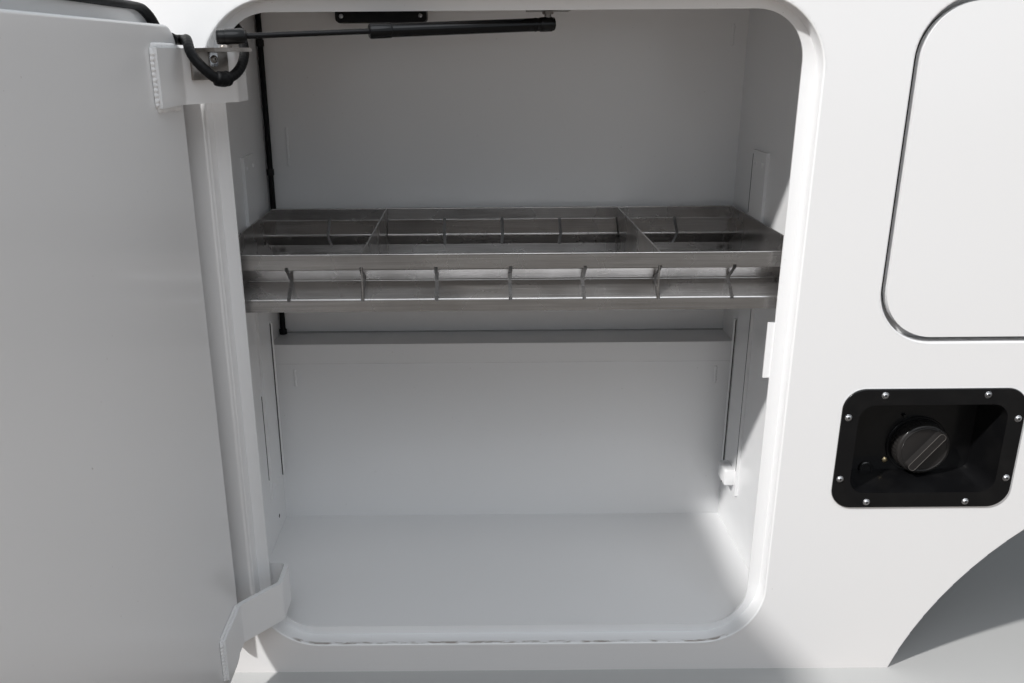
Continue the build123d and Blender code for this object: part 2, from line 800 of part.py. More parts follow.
loom_x = front_left - wall_margin + loom_radius + loom_gap
loom_y = back_inner - loom_radius - loom_gap
with BuildPart() as wiring_loom:
    with BuildLine() as loom_path:
        FilletPolyline(
            (box_left, loom_y, loom_z),
            (loom_x, loom_y, loom_z),
            (loom_x, loom_y, ledge_height + grommet_height),
            radius=loom_bend,
        )
    with BuildSketch(Plane.YZ.offset(box_left)):
        with Locations((loom_y, loom_z)):
            Circle(loom_radius)
    sweep(path=loom_path.wires()[0])
wiring_loom.part.label = "wiring_loom"
export_step(wiring_loom.part, "parts/wiring_loom.step")

with BuildPart() as loom_grommet:
    with BuildSketch(Plane.XY.offset(ledge_height)):
        with Locations((loom_x, loom_y)):
            Circle(loom_radius + loom_gap - seat_gap)
    extrude(amount=grommet_height)
loom_grommet.part.label = "loom_grommet"
export_step(loom_grommet.part, "parts/loom_grommet.step")

# Door cable: straight runs joined by tangent arcs as large as the runs allow
cable_points = [Vector(*point) for point in cable_route]
cable_radii = []
for before, corner, after in zip(cable_points, cable_points[1:], cable_points[2:]):
    run_in = corner - before
    run_out = after - corner
    turn = radians(run_in.get_angle(run_out))
    cable_radii.append(run_share * min(run_in.length, run_out.length) / tan(turn / 2))
with BuildPart() as door_cable:
    with BuildLine() as cable_path:
        FilletPolyline(*cable_points, radius=cable_radii)
    with BuildSketch(Plane(origin=cable_points[0], z_dir=cable_points[1] - cable_points[0])):
        Circle(cable_radius)
    sweep(path=cable_path.wires()[0])
door_cable.part.label = "door_cable"
export_step(door_cable.part, "parts/door_cable.step")

# Fuel filler pocket, its cap and the neck behind it
pocket_x = pocket_left + pocket_width / 2
pocket_z = pocket_bottom + pocket_height / 2
with BuildPart() as fuel_pocket:
    with BuildSketch(at_depth(0, pocket_x, pocket_z)):
        RectangleRounded(pocket_width, pocket_height, pocket_corner)
    extrude(amount=pocket_wall)
    fillet(fuel_pocket.edges().group_by(Axis.Y)[0], radius=pocket_roll)
    with BuildSketch(at_depth(0, pocket_x, pocket_z)):
        RectangleRounded(mouth[0] + 2 * pocket_wall, mouth[1] + 2 * pocket_wall, mouth_corner)
    extrude(amount=-pocket_well, taper=pocket_taper)
    with BuildSketch(at_depth(-pocket_wall, pocket_x, pocket_z)):
        RectangleRounded(*mouth, mouth_corner - pocket_wall)
    extrude(amount=-pocket_well, taper=pocket_taper, mode=Mode.SUBTRACT)
    with BuildSketch(at_depth(0, cap_x, cap_z)):
        Circle(neck_bore)
    extrude(amount=-2 * pocket_well, mode=Mode.SUBTRACT)
fuel_pocket.part.label = "fuel_pocket"
export_step(fuel_pocket.part, "parts/fuel_pocket.step")

with BuildPart() as filler_neck:
    with BuildSketch(at_depth(pocket_well, cap_x, cap_z)):
        Circle(cap_radius)
    extrude(amount=-neck_flange)
    with BuildSketch(at_depth(pocket_well, cap_x, cap_z)):
        Circle(neck_radius)
    extrude(amount=-neck_length)
    with BuildSketch(at_depth(pocket_well, cap_x, cap_z)):
        Circle(neck_bore)
    extrude(amount=-neck_length, mode=Mode.SUBTRACT)
filler_neck.part.label = "filler_neck"
export_step(filler_neck.part, "parts/filler_neck.step")

cap_back = pocket_well - pocket_wall - seat_gap
with BuildPart() as filler_cap:
    with BuildSketch(at_depth(cap_back, cap_x, cap_z)):
        Circle(cap_radius)
    extrude(amount=cap_thickness)
    fillet(filler_cap.edges().group_by(Axis.Y)[0], radius=cap_roll)
    with BuildSketch(at_depth(cap_back - cap_thickness, cap_x, cap_z)):
        with Locations(Location((0, 0, 0), (0, 0, grip_angle))):
            RectangleRounded(2 * (cap_radius - grip_margin), grip_width, grip_corner)
    extrude(amount=grip_rise, taper=8)
    with BuildSketch(at_depth(cap_back, cap_x, cap_z)):
        Circle(neck_bore - seat_gap)
    extrude(amount=-plug_length)
filler_cap.part.label = "filler_cap"
export_step(filler_cap.part, "parts/filler_cap.step")
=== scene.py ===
import json
from math import atan2, cos, pi, radians, sin

import bmesh
import bpy
from mathutils import Matrix, Vector, noise


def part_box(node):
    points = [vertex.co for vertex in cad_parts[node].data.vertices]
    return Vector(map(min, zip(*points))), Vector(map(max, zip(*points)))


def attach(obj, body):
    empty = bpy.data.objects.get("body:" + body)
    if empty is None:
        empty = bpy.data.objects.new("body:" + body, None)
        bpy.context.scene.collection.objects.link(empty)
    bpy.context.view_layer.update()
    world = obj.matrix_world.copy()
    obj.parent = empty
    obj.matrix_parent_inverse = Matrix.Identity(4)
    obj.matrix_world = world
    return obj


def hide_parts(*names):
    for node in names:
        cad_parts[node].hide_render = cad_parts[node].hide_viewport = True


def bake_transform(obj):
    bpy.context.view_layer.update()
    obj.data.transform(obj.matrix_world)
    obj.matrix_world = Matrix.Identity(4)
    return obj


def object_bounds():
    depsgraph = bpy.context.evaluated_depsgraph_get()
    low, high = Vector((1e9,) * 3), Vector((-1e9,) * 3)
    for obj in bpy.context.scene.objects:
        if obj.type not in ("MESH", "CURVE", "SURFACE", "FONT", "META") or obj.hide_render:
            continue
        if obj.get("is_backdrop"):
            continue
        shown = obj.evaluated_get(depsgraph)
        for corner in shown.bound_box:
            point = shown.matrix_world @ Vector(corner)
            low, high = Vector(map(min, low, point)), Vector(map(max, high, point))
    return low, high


# Looks of a service truck body's side pack. Lengths are written in millimetres, as in the solids,
# and MM takes them to metres. X runs to the rear of the truck, Y inwards, Z up. Colours are linear,
# and the scales of noise are per metre.
MM = 0.001

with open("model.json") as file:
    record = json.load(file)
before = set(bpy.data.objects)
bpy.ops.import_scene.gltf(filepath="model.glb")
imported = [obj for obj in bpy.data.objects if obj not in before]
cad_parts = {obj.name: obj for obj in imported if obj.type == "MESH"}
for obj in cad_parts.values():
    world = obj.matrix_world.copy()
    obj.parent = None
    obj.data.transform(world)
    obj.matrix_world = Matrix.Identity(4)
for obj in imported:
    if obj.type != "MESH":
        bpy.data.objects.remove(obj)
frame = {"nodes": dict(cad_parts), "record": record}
cad_low, cad_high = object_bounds()
nodes = frame["nodes"]

# Camera, as solved from the photograph; its angles are in degrees and it looks down by its pitch
camera_place = (-45.6, -1036.3, 839.5)
camera_pitch = 18.25
camera_roll = -0.45
camera_lens = 30.52
camera_shift = 0.0357

# Front door: its hinge pin in x and y, the plane of its inner pan, and the arms' feet, as it stands open
hinge_pin = (-388.0, 11.0)
pan_face_x = -363.0
arm_foot_tip_y = -135.0
arm_foot_root_y = -62.0
upper_arm_z = (791.0, 849.0)
lower_arm_z = (98.0, 156.0)

# Gas strut's two ball studs
header_ball = Vector((43.0, 59.0, 873.7))
arm_ball = Vector((-309.0, -60.0, 860.0))

# Fuel filler pocket and cap
pocket_screws = (
    # x, z
    (479.0, 421.5),
    (611.0, 421.5),
    (655.5, 388.0),
    (655.5, 303.0),
    (607.0, 268.5),
    (475.0, 268.5),
    (435.5, 303.0),
    (435.5, 391.0),
)
pocket_rim_y = -3.0
pocket_back_y = 52.0
cap_centre = (560.0, 328.0)
cap_radius = 36.0
cap_front_y = 31.7
grip_angle = radians(52.0)
grip_rise = 9.0

# Compartments: inner faces of the side liners and of the doublers on them, and the wiring loom
liner_x = 385.9
doubler_face = 381.3
loom_place = (-379.3, 402.3)
loom_radius = 4.5

# Directions that pieces face
OUTWARDS = (0, -1, 0)
INWARDS = (0, 1, 0)
UPWARDS = (0, 0, 1)
REARWARDS = (1, 0, 0)


# Materials

def shader_nodes(name):
    """A new node material, with its tree, its Principled shader and an object coordinate output."""
    material = bpy.data.materials.new(name)
    material.use_nodes = True
    tree = material.node_tree
    shader = tree.nodes["Principled BSDF"]
    place = tree.nodes.new("ShaderNodeTexCoord").outputs["Object"]
    return material, tree, shader, place


def noise_output(tree, place, scale, detail=3.0, stretch=None):
    """Noise value at a scale per metre, drawn out along an axis by a stretch vector."""
    if stretch:
        mapping = tree.nodes.new("ShaderNodeMapping")
        mapping.inputs["Scale"].default_value = stretch
        tree.links.new(place, mapping.inputs["Vector"])
        place = mapping.outputs["Vector"]
    texture = tree.nodes.new("ShaderNodeTexNoise")
    texture.inputs["Scale"].default_value = scale
    texture.inputs["Detail"].default_value = detail
    tree.links.new(place, texture.inputs["Vector"])
    return texture.outputs["Fac"]


def ramp(tree, value, low, high, to_low=0.0, to_high=1.0):
    """Maps a value between two limits to another range, clamped."""
    node = tree.nodes.new("ShaderNodeMapRange")
    for key, number in (("From Min", low), ("From Max", high), ("To Min", to_low), ("To Max", to_high)):
        node.inputs[key].default_value = number
    tree.links.new(value, node.inputs["Value"])
    return node.outputs["Result"]


def blend_colours(tree, factor, first, second):
    """Mixes two colours, each a tuple or an output, by a factor."""
    node = tree.nodes.new("ShaderNodeMix")
    node.data_type = "RGBA"
    tree.links.new(factor, node.inputs["Factor"])
    for socket, colour in ((node.inputs[6], first), (node.inputs[7], second)):
        if isinstance(colour, tuple):
            socket.default_value = (*colour, 1.0)
        else:
            tree.links.new(colour, socket)
    return node.outputs[2]


def multiply(tree, first, second):
    """Product of two values, the second an output or a number."""
    node = tree.nodes.new("ShaderNodeMath")
    node.operation = "MULTIPLY"
    for socket, value in ((node.inputs[0], first), (node.inputs[1], second)):
        if isinstance(value, float):
            socket.default_value = value
        else:
            tree.links.new(value, socket)
    return node.outputs[0]


def bump(tree, shader, height, strength, distance, under=None):
    """Adds a bump to the shader, on top of another bump's normal if one is given."""
    node = tree.nodes.new("ShaderNodeBump")
    node.inputs["Strength"].default_value = strength
    node.inputs["Distance"].default_value = distance
    tree.links.new(height, node.inputs["Height"])
    if under:
        tree.links.new(under, node.inputs["Normal"])
    tree.links.new(node.outputs["Normal"], shader.inputs["Normal"])
    return node.outputs["Normal"]


def white_paint():
    """Gloss white paint: orange peel, faint waves of the sheet, and dust on the roof and the door sills."""
    material, tree, shader, place = shader_nodes("gloss_white_paint")
    clean, dusty = (0.80, 0.803, 0.81), (0.745, 0.74, 0.73)
    grime, roof_dust = (0.27, 0.23, 0.20), (0.43, 0.42, 0.40)
    patches = ramp(tree, noise_output(tree, place, 3.5, 4.0), 0.3, 0.8, 0.0, 0.12)
    colour = blend_colours(tree, patches, clean, dusty)
    split = tree.nodes.new("ShaderNodeSeparateXYZ")
    tree.links.new(place, split.inputs["Vector"])
    depth, height = split.outputs["Y"], split.outputs["Z"]
    above = ramp(tree, height, 0.042, 0.045)
    below = ramp(tree, height, 0.052, 0.057, 1.0, 0.0)
    behind = multiply(tree, ramp(tree, depth, 0.0005, 0.002), ramp(tree, depth, 0.004, 0.0075, 1.0, 0.0))
    spots = ramp(tree, noise_output(tree, place, 150.0, 9.0, (0.3, 1.0, 1.0)), 0.46, 0.60, 0.0, 0.85)
    sill = multiply(tree, multiply(tree, above, below), multiply(tree, behind, spots))
    colour = blend_colours(tree, sill, colour, grime)
    settled = ramp(tree, noise_output(tree, place, 6.0, 5.0), 0.3, 0.7, 0.6, 0.9)
    roof = multiply(tree, ramp(tree, height, 0.9745, 0.9775), settled)
    colour = blend_colours(tree, roof, colour, roof_dust)
    specks = ramp(tree, noise_output(tree, place, 260.0, 2.0), 0.77, 0.80, 0.0, 0.5)
    colour = blend_colours(tree, specks, colour, grime)
    tree.links.new(colour, shader.inputs["Base Color"])
    rough = ramp(tree, noise_output(tree, place, 9.0, 5.0), 0.3, 0.7, 0.28, 0.33)
    tree.links.new(rough, shader.inputs["Roughness"])
    shader.inputs["Coat Weight"].default_value = 0.35
    shader.inputs["Coat Roughness"].default_value = 0.10
    waves = bump(tree, shader, noise_output(tree, place, 5.0, 1.0), 0.12, 0.003)
    bump(tree, shader, noise_output(tree, place, 520.0, 2.0), 0.14, 0.0003, waves)
    return material


def brushed_sheet():
    """Bare rolled sheet with its grain along X and cloudy handling marks."""
    material, tree, shader, place = shader_nodes("brushed_sheet")
    grain = noise_output(tree, place, 30.0, 8.0, (0.35, 30.0, 30.0))
    clouds = noise_output(tree, place, 11.0, 5.0)
    dull, bright, handled = (0.40, 0.385, 0.375), (0.52, 0.505, 0.495), (0.28, 0.255, 0.24)
    base = blend_colours(tree, ramp(tree, grain, 0.35, 0.65), dull, bright)
    colour = blend_colours(tree, ramp(tree, clouds, 0.5, 0.75, 0.0, 0.5), base, handled)
    tree.links.new(colour, shader.inputs["Base Color"])
    shader.inputs["Metallic"].default_value = 0.93
    shader.inputs["Anisotropic"].default_value = 0.45
    rough = ramp(tree, clouds, 0.3, 0.7, 0.20, 0.34)
    tree.links.new(rough, shader.inputs["Roughness"])
    bump(tree, shader, grain, 0.22, 0.0004)
    return material


def bare_metal(name, colour, roughness, speckle):
    """Plain or plated metal with fine speckle and worn patches."""
    material, tree, shader, place = shader_nodes(name)
    darker = tuple(0.6 * part for part in colour)
    marks = ramp(tree, noise_output(tree, place, 70.0, 6.0), 0.45, 0.75)
    tree.links.new(blend_colours(tree, marks, colour, darker), shader.inputs["Base Color"])
    shader.inputs["Metallic"].default_value = 0.95
    rough = ramp(tree, noise_output(tree, place, 40.0), 0.3, 0.7, roughness - 0.07, roughness + 0.09)
    tree.links.new(rough, shader.inputs["Roughness"])
    bump(tree, shader, noise_output(tree, place, speckle, 4.0), 0.2, 0.0003)
    return material


def dark_finish(name, colour, dust, roughness, grain_scale, grain_depth, coat):
    """Plastic, rubber, paint, sealant, painted shade or a painted highlight: a fine grain, and a little dust
    in patches.
    """
    material, tree, shader, place = shader_nodes(name)
    patches = ramp(tree, noise_output(tree, place, 26.0, 7.0), 0.5, 0.8, 0.0, 0.4)
    tree.links.new(blend_colours(tree, patches, colour, dust), shader.inputs["Base Color"])
    shader.inputs["Specular IOR Level"].default_value = 0.16
    shader.inputs["Coat Weight"].default_value = coat
    shader.inputs["Coat Roughness"].default_value = 0.12
    rough = ramp(tree, noise_output(tree, place, 18.0, 5.0), 0.3, 0.7, roughness - 0.06, roughness + 0.1)
    tree.links.new(rough, shader.inputs["Roughness"])
    bump(tree, shader, noise_output(tree, place, grain_scale, 3.0), 0.35, grain_depth)
    return material


# name, colour, colour of its dust, roughness, scale and depth of the grain, weight of a clear coat
dark_finishes = (
    ("black_rubber", (0.014, 0.014, 0.015), (0.045, 0.043, 0.041), 0.55, 700, 0.0003, 0.0),
    ("black_plastic", (0.004, 0.004, 0.0045), (0.014, 0.0135, 0.013), 0.38, 900, 0.0002, 0.45),
    ("braided_sleeve", (0.004, 0.004, 0.0045), (0.012, 0.0115, 0.011), 0.48, 1500, 0.0003, 0.0),
    ("black_paint", (0.004, 0.004, 0.0045), (0.012, 0.012, 0.012), 0.20, 300, 0.0001, 0.3),
    ("black_rod", (0.010, 0.010, 0.011), (0.02, 0.02, 0.02), 0.14, 200, 0.00005, 0.0),
    # A dark finish of painted shade, for the gaps, grooves and holes in the side walls.
    ("gap_shade_paint", (0.02, 0.018, 0.016), (0.04, 0.035, 0.03), 0.80, 300, 0.0001, 0.0),
    ("cap_plastic", (0.020, 0.0185, 0.018), (0.036, 0.033, 0.031), 0.42, 900, 0.0002, 0.35),
    # The pale finish for the cap's grip edges: partly wear, partly a painted highlight.
    ("wear_and_painted_highlight_edge", (0.085, 0.078, 0.073), (0.12, 0.11, 0.10), 0.50, 900, 0.0001, 0.0),
    # Black undercoat for the arch liner; its black is also painted shade for the wheel well.
    ("undercoat_and_wheel_well_shade", (0.012, 0.012, 0.012), (0.05, 0.045, 0.04), 0.75, 160, 0.0012, 0.0),
    ("sealant", (0.42, 0.42, 0.42), (0.30, 0.29, 0.28), 0.60, 300, 0.0002, 0.0),
)
# name, colour, roughness, scale of its speckle
metals = (
    ("stainless", (0.62, 0.62, 0.63), 0.26, 500.0),
    ("bare_steel", (0.33, 0.30, 0.275), 0.34, 600.0),
    ("brass", (0.62, 0.50, 0.30), 0.30, 500.0),
)
materials = {"white_paint": white_paint(), "brushed_sheet": brushed_sheet()}
materials.update({row[0]: dark_finish(*row) for row in dark_finishes})
materials.update({row[0]: bare_metal(*row) for row in metals})
finishes = {part["node"]: part["material_slot"] for part in frame["record"]["subparts"]}
# The arch liner gets black undercoat in place of white paint; the black also stands in for the wheel well's
# shade.
finishes.update(arch_liner="undercoat_and_wheel_well_shade", filler_cap="cap_plastic")
for node, finish in finishes.items():
    slots = nodes[node].data.materials
    slots.clear()
    slots.append(materials[finish])


# Mesh helpers

def piece(name, bm, finish, body, smooth_angle=35.0):
    """Turns a bmesh in millimetres into a piece that rides on a body."""
    bmesh.ops.recalc_face_normals(bm, faces=bm.faces[:])
    bmesh.ops.scale(bm, vec=(MM, MM, MM), verts=bm.verts[:])
    mesh = bpy.data.meshes.new(name)
    bm.to_mesh(mesh)
    bm.free()
    made = bpy.data.objects.new(name, mesh)
    bpy.context.scene.collection.objects.link(made)
    mesh.materials.append(materials[finish])
    mesh.shade_smooth()
    mesh.set_sharp_from_angle(angle=radians(smooth_angle))
    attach(made, body)
    return made


def facing(place, direction):
    """Matrix that puts the origin at a place and turns +Z to a direction."""
    towards = Vector(direction).normalized().to_track_quat("Z", "Y").to_matrix().to_4x4()
    return Matrix.Translation(Vector(place)) @ towards


def add_rings(bm, rings, matrix=None, closed=True, loop=False):
    """Skins a list of rings of points, each as long as the next, and closes its ends or joins them."""
    if matrix is None:
        matrix = Matrix.Identity(4)
    made = [[bm.verts.new(matrix @ Vector(point)) for point in ring] for ring in rings]
    pairs = list(zip(made, made[1:])) + ([(made[-1], made[0])] if loop else [])
    for first, second in pairs:
        for i in range(len(first)):
            j = (i + 1) % len(first)
            bm.faces.new((first[i], first[j], second[j], second[i]))
    if closed and not loop:
        bm.faces.new(reversed(made[0]))
        bm.faces.new(made[-1])


def circle(radius, height, count=32, lobes=0, depth=0.0):
    """A ring about Z at a height; lobes push it in and out."""
    return [
        (
            (radius + depth * cos(lobes * 2 * pi * i / count)) * cos(2 * pi * i / count),
            (radius + depth * cos(lobes * 2 * pi * i / count)) * sin(2 * pi * i / count),
            height,
        )
        for i in range(count)
    ]


def hexagon(radius, height, count=32):
    """A hexagon about Z with as many points as a circle's ring."""
    ring = []
    for i in range(count):
        angle = 2 * pi * i / count
        reach = radius * cos(pi / 6) / cos((angle % (pi / 3)) - pi / 6)
        ring.append((reach * cos(angle), reach * sin(angle), height))
    return ring


def turned(bm, profile, matrix, count=32, closed=True):
    """Revolves (radius, height) pairs about the matrix's Z axis."""
    add_rings(bm, [circle(radius, height, count) for radius, height in profile], matrix, closed)


def button_screw(bm, place, direction, radius):
    """A button-head screw with a hexagon socket in its crown."""
    crown = 0.55 * radius
    rings = [circle(radius * 1.02, -0.4)]
    for share in (0.0, 0.3, 0.6, 0.85):
        rings.append(circle(radius * cos(share * pi / 2 * 0.72), crown * sin(share * pi / 2)))
    rings.append(circle(0.50 * radius, crown))
    rings += [hexagon(0.40 * radius, crown * 0.96), hexagon(0.38 * radius, crown * 0.25)]
    add_rings(bm, rings, facing(place, direction))


def hex_head(bm, place, direction, radius, height):
    """A hexagon bolt head or nut with a chamfered crown."""
    rings = [
        hexagon(radius, 0.0),
        hexagon(radius, height * 0.8),
        circle(radius * 0.86, height),
        circle(radius * 0.45, height * 1.02),
    ]
    add_rings(bm, rings, facing(place, direction))


def washer(bm, place, direction, outer, thickness):
    """A flat washer with a chamfered edge; its bore is under the bolt's head."""
    chamfer = thickness * 0.4
    turned(bm, [(outer, -0.2), (outer, thickness * 0.7), (outer - chamfer, thickness), (1.0, thickness)],
           facing(place, direction))


def weld_bead(bm, start, end, width, outward, seed=0):
    """A painted weld: overlapping ripples along a line, half sunk in the sheet."""
    start, end, outward = Vector(start), Vector(end), Vector(outward).normalized()
    run = end - start
    along = run.normalized()
    across = along.cross(outward).normalized()
    pitch, steps = width * 0.55, 6
    count = max(4, int(run.length / pitch * steps))
    rings = []
    for i in range(count + 1):
        place = start + run * (i / count)
        ripple = abs(sin(pi * i / steps))
        wander = noise.noise(place * 0.21 + Vector((seed, 0.0, 0.0)))
        end_fade = min(1.0, (min(i, count - i) + 1) / 5)
        half = width / 2 * (0.82 + 0.14 * ripple + 0.22 * wander) * (0.5 + 0.5 * end_fade)
        rise = width * 0.34 * (0.7 + 0.35 * ripple + 0.25 * wander) * end_fade
        shift = across * wander * width * 0.18
        ring = []
        for k in range(10):
            angle = 2 * pi * k / 10
            lift = rise * sin(angle) if sin(angle) > 0 else 0.6 * sin(angle)
            ring.append(place + shift + across * half * cos(angle) + outward * lift)
        rings.append(ring)
    add_rings(bm, rings)


def spline_points(name, route):
    """Points read from the NURBS line whose control points are a route in millimetres."""
    curve = bpy.data.curves.new(name, "CURVE")
    curve.dimensions = "3D"
    spline = curve.splines.new("NURBS")
    spline.points.add(len(route) - 1)
    for point, place in zip(spline.points, route):
        point.co = (*[part * MM for part in place], 1.0)
    spline.order_u = 3
    spline.use_endpoint_u = True
    spline.resolution_u = 12
    holder = bpy.data.objects.new(name, curve)
    bpy.context.scene.collection.objects.link(holder)
    bpy.context.view_layer.update()
    line = bpy.data.meshes.new_from_object(holder)
    points = [vertex.co.copy() / MM for vertex in line.vertices]
    bpy.data.objects.remove(holder)
    bpy.data.curves.remove(curve)
    bpy.data.meshes.remove(line)
    return points


def resample(points, step):
    """The same line with points at equal steps."""
    made, left = [points[0]], step
    for first, second in zip(points, points[1:]):
        span = (second - first).length
        while span >= left:
            first = first + (second - first) * (left / span)
            made.append(first.copy())
            span = (second - first).length
            left = step
        left -= span
    if len(made) > 1 and (points[-1] - made[-1]).length < step / 2:
        made.pop()
    made.append(points[-1])
    return made


def tube(bm, points, radius_at, count):
    """A tube along points, with a radius or a function of distance and angle that gives it."""
    side = (points[1] - points[0]).orthogonal().normalized()
    rings, distance = [], 0.0
    for i, point in enumerate(points):
        along = (points[min(i + 1, len(points) - 1)] - points[max(i - 1, 0)]).normalized()
        side = (side - along * side.dot(along)).normalized()
        other = along.cross(side)
        if i:
            distance += (point - points[i - 1]).length
        rings.append([
            point + (side * cos(2 * pi * k / count) + other * sin(2 * pi * k / count))
            * (radius_at(distance, 2 * pi * k / count) if callable(radius_at) else radius_at)
            for k in range(count)
        ])
    add_rings(bm, rings)


# Door cable: a braided sleeve from the pan's hinge side to the side liner
cable_radius = 5.5
cable_route = [
    (-369.0, -52.0, 858.0),
    (-369.0, -37.5, 858.0),
    (-359.0, -34.0, 857.5),
    (-350.0, -58.0, 858.5),
    (-340.0, -83.0, 842.0),
    (-326.0, -86.0, 827.0),
    (-315.0, -80.0, 816.5),
    (-304.5, -62.0, 818.5),
    (-298.5, -40.0, 829.5),
    (-300.0, -15.0, 845.0),
    (-308.0, 10.0, 858.0),
    (-316.0, 38.0, 866.0),
    (-331.0, 68.0, 876.0),
    (-346.0, 98.0, 885.0),
    (-366.0, 118.0, 890.0),
    (-386.0, 118.0, 890.0),
]
braid_strands = 12
braid_pitch = 34.0
braid_relief = 0.32
coupler_half = 9.0
coupler_relief = 2.6
coupler_slope = 1.6
coupler_groove = 0.5


def braid(radius):
    """Radius of a braided sleeve: two sets of strands wound opposite ways."""
    def radius_at(distance, angle):
        wind = 2 * pi * distance / braid_pitch * 3
        crossing = cos(braid_strands * angle / 2 + wind) * cos(braid_strands * angle / 2 - wind)
        return radius - braid_relief * (0.5 - 0.5 * crossing)
    return radius_at


def with_coupler(radius_at, middle):
    """Adds a coupler's barrel to a sleeve, with two grooves round it."""
    def radius_outside(distance, angle):
        off = abs(distance - middle)
        shoulder = min(1.0, max(0.0, (coupler_half - off) / coupler_slope))
        groove = coupler_groove if 3.0 < off < 4.2 else 0.0
        return radius_at(distance, angle) + shoulder * (coupler_relief - groove)
    return radius_outside


def length(points):
    """Length of a line of points."""
    return sum((second - first).length for first, second in zip(points, points[1:]))


cable_points = resample(spline_points("cable_line", cable_route), 0.9)
lowest = min(range(len(cable_points)), key=lambda i: cable_points[i].z)
coupler_middle = length(cable_points[:lowest + 1])
bm = bmesh.new()
tube(bm, cable_points, with_coupler(braid(cable_radius), coupler_middle), 36)
door_cable = piece("door_cable_sleeve", bm, "braided_sleeve", "root", 60.0)
door_cable.parent = None
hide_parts("door_cable")
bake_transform(door_cable)

# Glands where the cable goes through the pan's hinge side and the side liner
for name, place, direction, body, profile in (
    ("cable_gland_door", cable_route[0], INWARDS, "front_door",
     [(7.0, 0.0), (7.0, 0.9), (6.5, 1.5), (5.6, 1.8)]),
    ("cable_gland_liner", cable_route[-1], REARWARDS, "root",
     [(7.6, 0.0), (7.6, 1.6), (7.1, 2.2), (6.7, 2.4), (6.4, 4.8), (5.8, 6.0), (5.0, 6.3)]),
):
    bm = bmesh.new()
    turned(bm, profile, facing(place, direction))
    piece(name, bm, "black_rubber", body)


def arm_welds(name, low, high):
    """Weld beads along the tip and both long edges of a hinge arm's foot on the pan."""
    bm = bmesh.new()
    foot_x = pan_face_x + 0.6
    root_y = arm_foot_root_y - 4
    for start, end, width, seed in (
        ((arm_foot_tip_y - 1.5, low), (arm_foot_tip_y - 1.5, high), 9.0, 1),
        ((arm_foot_tip_y, high + 1.5), (root_y, high + 1.5), 7.5, 2),
        ((arm_foot_tip_y, low - 1.5), (root_y, low - 1.5), 7.5, 3),
    ):
        weld_bead(bm, (foot_x, *start), (foot_x, *end), width, REARWARDS, seed)
    piece(name, bm, "white_paint", "front_door", 60.0)


arm_welds("upper_arm_welds", *upper_arm_z)
arm_welds("lower_arm_welds", *lower_arm_z)


# Door leaves: recess outlines from the frames, and a map from a closed leaf to its place
frame_wall = 3.0
door_gap = 7.0
recess_radii = {"front": 85.0, "middle": 70.0, "rear": 85.0}


def recess(name):
    """Left, right, bottom and top of the recess that a leaf closes into."""
    low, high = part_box(f"{name}_door_frame")
    return (
        low.x / MM + frame_wall, high.x / MM - frame_wall,
        low.z / MM + frame_wall, high.z / MM - frame_wall,
    )


def in_leaf(name, x, depth, z):
    """A point of the closed leaf, taken to the pose in which the leaf is stored."""
    if name != "front":
        return Vector((x, depth, z))
    return Vector((hinge_pin[0] + depth - hinge_pin[1], hinge_pin[1] - x + hinge_pin[0], z))


def leaf_direction(name, x, depth, z):
    """A direction on the closed leaf, turned as the leaf is."""
    return in_leaf(name, x, depth, z) - in_leaf(name, 0.0, 0.0, 0.0)


def rounded_loop(left, right, bottom, top, radius, steps=14):
    """Points of a rounded rectangle with their outward normals, in x and z."""
    loop = []
    for x, z, start in (
        (right - radius, top - radius, 0.0),
        (left + radius, top - radius, pi / 2),
        (left + radius, bottom + radius, pi),
        (right - radius, bottom + radius, 3 * pi / 2),
    ):
        for i in range(steps + 1):
            angle = start + pi / 2 * i / steps
            loop.append((x + radius * cos(angle), z + radius * sin(angle), cos(angle), sin(angle)))
    return loop


# Bulb seals on the leaves, in place of their plain solids
seal_inset = 1.5
seal_foot_depth = 13.0
seal_profile = (
    # inwards from the seal's outer edge, height above the leaf
    (0.2, 0.0), (6.8, 0.0), (7.0, 1.8), (5.9, 2.6), (6.6, 4.2), (6.9, 6.4), (6.2, 8.6), (4.6, 10.1),
    (3.5, 10.4), (2.4, 10.1), (0.8, 8.6), (0.1, 6.4), (0.4, 4.2), (1.1, 2.6), (0.0, 1.8),
)
for name in ("front", "middle", "rear"):
    left, right, bottom, top = recess(name)
    inset = door_gap + seal_inset
    loop = rounded_loop(left + inset, right - inset, bottom + inset, top - inset, recess_radii[name] - inset)
    rings = [
        [in_leaf(name, x - across * nx, seal_foot_depth + height, z - across * nz)
         for across, height in seal_profile]
        for x, z, nx, nz in loop
    ]
    bm = bmesh.new()
    add_rings(bm, rings, loop=True)
    seal = piece(f"{name}_bulb_seal", bm, "black_rubber", f"{name}_door", 50.0)
    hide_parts(f"{name}_door_seal")

# Paddle latches: rivets at the plate's corners and a lock below the paddle
handle_inset = 62.0
handle_face = -2.0
lock_drop = 51.0
handle_rivets = ((-27.0, 52.0), (27.0, 52.0), (-27.0, -52.0), (27.0, -52.0))
for name in ("front", "middle", "rear"):
    left, right, bottom, top = recess(name)
    if name == "middle":
        centre = ((left + right) / 2, bottom + door_gap + handle_inset)
    else:
        centre = (right - door_gap - handle_inset, (bottom + top) / 2)
    out = leaf_direction(name, 0.0, -1.0, 0.0)
    bm = bmesh.new()
    for dx, dz in handle_rivets:
        place = in_leaf(name, centre[0] + dx, handle_face, centre[1] + dz)
        turned(bm, [(3.4, -0.3), (3.3, 0.6), (2.4, 1.4), (1.0, 1.7)], facing(place, out), 20)
    place = in_leaf(name, centre[0], handle_face, centre[1] - lock_drop)
    lock_profile = [(6.2, -0.3), (6.2, 1.8), (5.6, 2.4), (4.6, 2.4), (4.4, 1.6), (1.0, 1.6)]
    turned(bm, lock_profile, facing(place, out), 28)
    piece(f"{name}_latch_rivets", bm, "stainless", f"{name}_door")

